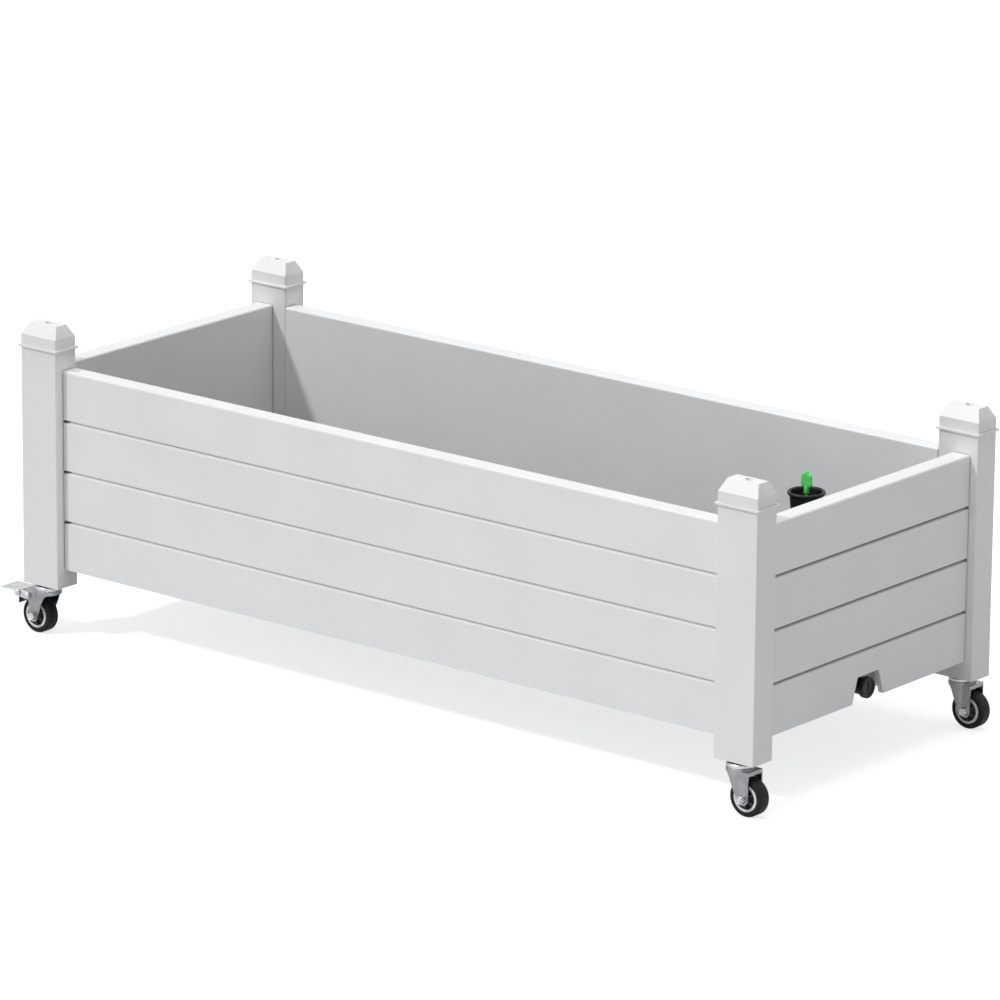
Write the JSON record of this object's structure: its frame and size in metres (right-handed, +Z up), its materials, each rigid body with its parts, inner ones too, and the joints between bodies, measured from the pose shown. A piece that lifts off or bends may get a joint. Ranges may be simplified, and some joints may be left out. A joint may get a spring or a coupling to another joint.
{
  "type": "rolling planter box",
  "caption": "Long plank-look planter box with capped corner posts on swivel casters, two with foot brakes, and a self-watering tray with filler cup, level flag and drain plug.",
  "frame": {"origin": "on the floor, at the middle of the bounding box's base; the middle of the box itself is 16.5 mm towards +X, because the brake pedals stand out at the left end", "axes": "+X along the length towards the end with the drain plug, +Y towards the rear, +Z up"},
  "size_m": [1.29, 0.5216, 0.4343],
  "materials": {
    "resin": "satin moulded white resin",
    "grey_resin": "matt moulded grey resin",
    "black_resin": "satin moulded black resin",
    "green_resin": "semi-gloss green resin",
    "foam": "closed-cell foam",
    "rubber": "matt black rubber",
    "tyre": "matt black thermoplastic rubber tread",
    "hub_resin": "light grey moulded wheel centre",
    "zinc": "bright zinc plate on pressed steel"
  },
  "bodies": {
    "planter": {"front_left_post": "resin", "front_left_post_cap": "resin", "front_left_caster_stem": "zinc", "front_right_post": "resin", "front_right_post_cap": "resin", "front_right_caster_stem": "zinc", "rear_left_post": "resin", "rear_left_post_cap": "resin", "rear_left_caster_stem": "zinc", "rear_right_post": "resin", "rear_right_post_cap": "resin", "rear_right_caster_stem": "zinc", "front_panel": "resin", "rear_panel": "resin", "left_end_panel": "resin", "right_end_panel": "resin", "left_cross_bar": "grey_resin", "right_cross_bar": "grey_resin", "reservoir_tray": "grey_resin", "soil_platform": "black_resin", "filler_cup": "black_resin", "rod_guide": "black_resin", "drain_bush": "black_resin", "drain_seal": "rubber"},
    "level_float": {"float_disc": "foam", "float_rod": "green_resin", "level_flag": "green_resin"},
    "drain_plug": {"drain_plug": "black_resin"},
    "front_left_swivel": {"front_left_caster_fork": "zinc", "front_left_axle_bolt": "zinc", "front_left_axle_nut": "zinc", "front_left_brake_pivot_pin": "zinc"},
    "front_left_wheel": {"front_left_tyre": "tyre", "front_left_wheel_hub": "hub_resin"},
    "front_left_pedal": {"front_left_brake_pedal": "zinc", "front_left_brake_pad": "rubber", "front_left_brake_pad_rivet": "zinc"},
    "front_right_swivel": {"front_right_caster_fork": "zinc", "front_right_axle_bolt": "zinc", "front_right_axle_nut": "zinc"},
    "front_right_wheel": {"front_right_tyre": "tyre", "front_right_wheel_hub": "hub_resin"},
    "rear_left_swivel": {"rear_left_caster_fork": "zinc", "rear_left_axle_bolt": "zinc", "rear_left_axle_nut": "zinc", "rear_left_brake_pivot_pin": "zinc"},
    "rear_left_wheel": {"rear_left_tyre": "tyre", "rear_left_wheel_hub": "hub_resin"},
    "rear_left_pedal": {"rear_left_brake_pedal": "zinc", "rear_left_brake_pad": "rubber", "rear_left_brake_pad_rivet": "zinc"},
    "rear_right_swivel": {"rear_right_caster_fork": "zinc", "rear_right_axle_bolt": "zinc", "rear_right_axle_nut": "zinc"},
    "rear_right_wheel": {"rear_right_tyre": "tyre", "rear_right_wheel_hub": "hub_resin"}
  },
  "joints": [
    {"name": "float_rise", "type": "slide", "parent": "planter", "child": "level_float", "axis": [0, 0, 1], "range_m": [0, 0.036]},
    {"name": "drain_plug_turn", "type": "hinge", "parent": "planter", "child": "drain_plug", "pos_m": [0.6245, 0.0025, 0.1113], "axis": [1, 0, 0], "range_deg": [0, 90]},
    {"name": "front_left_swivel", "type": "hinge", "parent": "planter", "child": "front_left_swivel", "pos_m": [-0.572, -0.238, 0.06], "axis": [0, 0, 1], "continuous": true},
    {"name": "front_left_roll", "type": "hinge", "parent": "front_left_swivel", "child": "front_left_wheel", "pos_m": [-0.587, -0.238, 0.025], "axis": [0, 1, 0], "continuous": true},
    {"name": "front_left_brake", "type": "hinge", "parent": "front_left_swivel", "child": "front_left_pedal", "pos_m": [-0.5965, -0.238, 0.0521], "axis": [0, -1, 0], "range_deg": [0, 14], "stiffness_Nm_per_rad": 0.3, "springref_deg": -8.59},
    {"name": "front_right_swivel", "type": "hinge", "parent": "planter", "child": "front_right_swivel", "pos_m": [0.605, -0.238, 0.06], "axis": [0, 0, 1], "continuous": true},
    {"name": "front_right_roll", "type": "hinge", "parent": "front_right_swivel", "child": "front_right_wheel", "pos_m": [0.62, -0.238, 0.025], "axis": [0, 1, 0], "continuous": true},
    {"name": "rear_left_swivel", "type": "hinge", "parent": "planter", "child": "rear_left_swivel", "pos_m": [-0.572, 0.238, 0.06], "axis": [0, 0, 1], "continuous": true},
    {"name": "rear_left_roll", "type": "hinge", "parent": "rear_left_swivel", "child": "rear_left_wheel", "pos_m": [-0.587, 0.238, 0.025], "axis": [0, 1, 0], "continuous": true},
    {"name": "rear_left_brake", "type": "hinge", "parent": "rear_left_swivel", "child": "rear_left_pedal", "pos_m": [-0.5965, 0.238, 0.0521], "axis": [0, -1, 0], "range_deg": [0, 14], "stiffness_Nm_per_rad": 0.3, "springref_deg": -8.59},
    {"name": "rear_right_swivel", "type": "hinge", "parent": "planter", "child": "rear_right_swivel", "pos_m": [0.605, 0.238, 0.06], "axis": [0, 0, 1], "continuous": true},
    {"name": "rear_right_roll", "type": "hinge", "parent": "rear_right_swivel", "child": "rear_right_wheel", "pos_m": [0.62, 0.238, 0.025], "axis": [0, 1, 0], "continuous": true}
  ]
}
